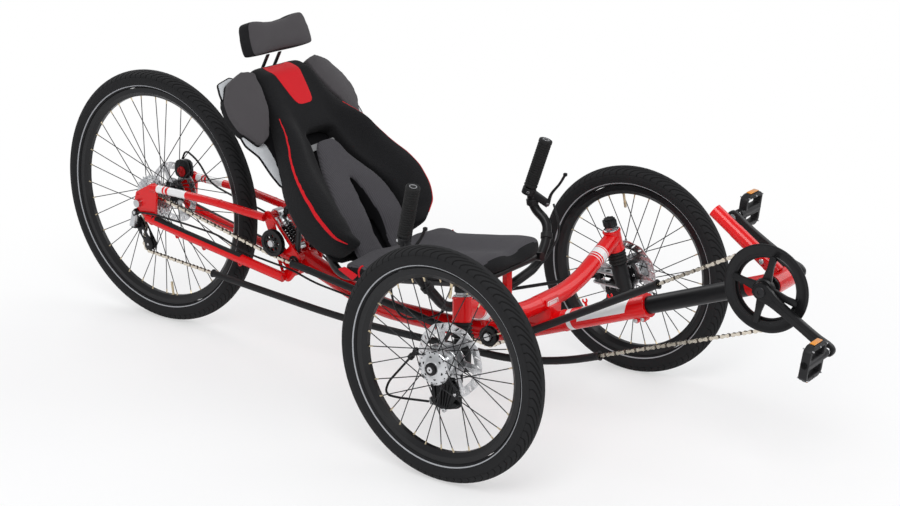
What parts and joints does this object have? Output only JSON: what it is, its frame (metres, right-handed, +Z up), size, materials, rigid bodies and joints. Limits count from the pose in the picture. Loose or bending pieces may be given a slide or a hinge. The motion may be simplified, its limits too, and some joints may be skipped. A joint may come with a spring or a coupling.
{
  "type": "recumbent trike",
  "caption": "Reclined-seat tricycle with two steered front wheels, under-seat handlebar, cranks on a front boom and a sprung driven rear wheel.",
  "frame": {"origin": "on the ground under the middle of the trike's overall box", "axes": "-Y forward, +X to the rider's left, +Z up"},
  "size_m": [0.83, 2.2145, 0.8253],
  "materials": {
    "red_paint": "gloss",
    "black_alloy": "satin",
    "tyre_rubber": "tread and sidewall",
    "rim_black": "satin anodised",
    "spoke_steel": "drawn wire",
    "rotor_steel": "machined",
    "silver_alloy": "machined",
    "chain_steel": "oiled",
    "black_plastic": "moulded",
    "grip_rubber": "ribbed",
    "boot_rubber": "pleated",
    "seat_mesh": "spacer mesh",
    "seat_grey": "ribbed weave",
    "frame_black": "gloss",
    "cable_black": "smooth housing"
  },
  "bodies": {
    "frame": {"main_frame": "red_paint", "cross_arm_left": "red_paint", "cross_arm_right": "red_paint", "boom": "frame_black", "accessory_post": "red_paint", "swingarm_yoke": "red_paint", "stays": "red_paint", "dropouts": "red_paint", "rear_axle": "silver_alloy", "shock_absorber": "silver_alloy", "chain": "chain_steel", "chain_tubes": "black_plastic", "idler_bolts": "silver_alloy", "derailleur": "black_alloy", "rear_caliper": "black_alloy", "seat_frame": "frame_black", "seat_base_pad": "seat_grey", "seat_back_pad": "seat_mesh", "shoulder_pads": "seat_grey", "headrest_pad": "seat_grey", "frame_cables": "cable_black"},
    "handlebar": {"handlebar": "frame_black", "grips": "grip_rubber", "brake_levers": "black_alloy", "bar_cables": "cable_black"},
    "knuckle_left": {"knuckle_left": "black_alloy", "knuckle_left_covers": "boot_rubber", "knuckle_left_caliper": "black_alloy", "knuckle_left_cable": "cable_black"},
    "knuckle_right": {"knuckle_right": "black_alloy", "knuckle_right_covers": "boot_rubber", "knuckle_right_caliper": "black_alloy", "knuckle_right_cable": "cable_black"},
    "front_left_wheel": {"front_left_tyre": "tyre_rubber", "front_left_rim": "rim_black", "front_left_spokes": "spoke_steel", "front_left_hub": "silver_alloy", "front_left_rotor": "rotor_steel"},
    "front_right_wheel": {"front_right_tyre": "tyre_rubber", "front_right_rim": "rim_black", "front_right_spokes": "spoke_steel", "front_right_hub": "silver_alloy", "front_right_rotor": "rotor_steel"},
    "tie_rod_left": {"tie_rod_left": "frame_black"},
    "tie_rod_right": {"tie_rod_right": "frame_black"},
    "rear_wheel": {"rear_tyre": "tyre_rubber", "rear_rim": "rim_black", "rear_spokes": "spoke_steel", "rear_hub": "silver_alloy", "rear_rotor": "rotor_steel", "cassette": "chain_steel"},
    "crankset": {"chainring": "black_alloy", "crank_right": "black_alloy", "crank_left": "black_alloy"},
    "pedal_left": {"pedal_left": "black_alloy"},
    "pedal_right": {"pedal_right": "black_alloy"},
    "rear_idler": {"rear_idler": "black_plastic"},
    "front_idler": {"front_idler": "black_plastic"}
  },
  "joints": [
    {"name": "steering", "type": "hinge", "parent": "frame", "child": "handlebar", "pos_m": [0, -0.24178, 0.254], "axis": [0, 0, 1], "range_deg": [-26, 26]},
    {"name": "kingpin_left", "type": "hinge", "parent": "frame", "child": "knuckle_left", "pos_m": [0.295, -0.38628, 0.3435], "axis": [-0.1975, 0.1364, 0.9708], "range_deg": [-26, 26]},
    {"name": "tie_rod_left_eye", "type": "hinge", "parent": "knuckle_left", "child": "tie_rod_left", "pos_m": [0.31565, -0.33554, 0.242], "axis": [-0.1975, 0.1364, 0.9708], "range_deg": [-26, 26]},
    {"name": "front_left_spin", "type": "hinge", "parent": "knuckle_left", "child": "front_left_wheel", "pos_m": [0.38, -0.39178, 0.25], "axis": [1, 0, 0], "continuous": true},
    {"name": "kingpin_right", "type": "hinge", "parent": "frame", "child": "knuckle_right", "pos_m": [-0.295, -0.38628, 0.3435], "axis": [0.1975, 0.1364, 0.9708], "range_deg": [-26, 26]},
    {"name": "tie_rod_right_eye", "type": "hinge", "parent": "knuckle_right", "child": "tie_rod_right", "pos_m": [-0.31565, -0.33554, 0.242], "axis": [0.1975, 0.1364, 0.9708], "range_deg": [-26, 26]},
    {"name": "front_right_spin", "type": "hinge", "parent": "knuckle_right", "child": "front_right_wheel", "pos_m": [-0.38, -0.39178, 0.25], "axis": [1, 0, 0], "continuous": true},
    {"name": "rear_spin", "type": "hinge", "parent": "frame", "child": "rear_wheel", "pos_m": [0, 0.78322, 0.3265], "axis": [1, 0, 0], "continuous": true},
    {"name": "crank_turn", "type": "hinge", "parent": "frame", "child": "crankset", "pos_m": [0, -0.94478, 0.43195], "axis": [1, 0, 0], "continuous": true},
    {"name": "pedal_left_turn", "type": "hinge", "parent": "crankset", "child": "pedal_left", "pos_m": [0, -0.79983, 0.52077], "axis": [1, 0, 0], "continuous": true},
    {"name": "pedal_right_turn", "type": "hinge", "parent": "crankset", "child": "pedal_right", "pos_m": [0, -1.08972, 0.34313], "axis": [1, 0, 0], "continuous": true},
    {"name": "rear_idler_turn", "type": "hinge", "parent": "frame", "child": "rear_idler", "pos_m": [0, 0.35222, 0.292], "axis": [1, 0, 0], "continuous": true},
    {"name": "front_idler_turn", "type": "hinge", "parent": "frame", "child": "front_idler", "pos_m": [0, -0.28178, 0.19], "axis": [1, 0, 0], "continuous": true}
  ],
  "couplings": [
    {"joint": "kingpin_left", "follows": "steering", "ratio": 1},
    {"joint": "kingpin_right", "follows": "steering", "ratio": 1},
    {"joint": "tie_rod_left_eye", "follows": "steering", "ratio": -1},
    {"joint": "tie_rod_right_eye", "follows": "steering", "ratio": -1},
    {"joint": "rear_idler_turn", "follows": "crank_turn", "ratio": -2.5281},
    {"joint": "front_idler_turn", "follows": "crank_turn", "ratio": -3.6773}
  ]
}
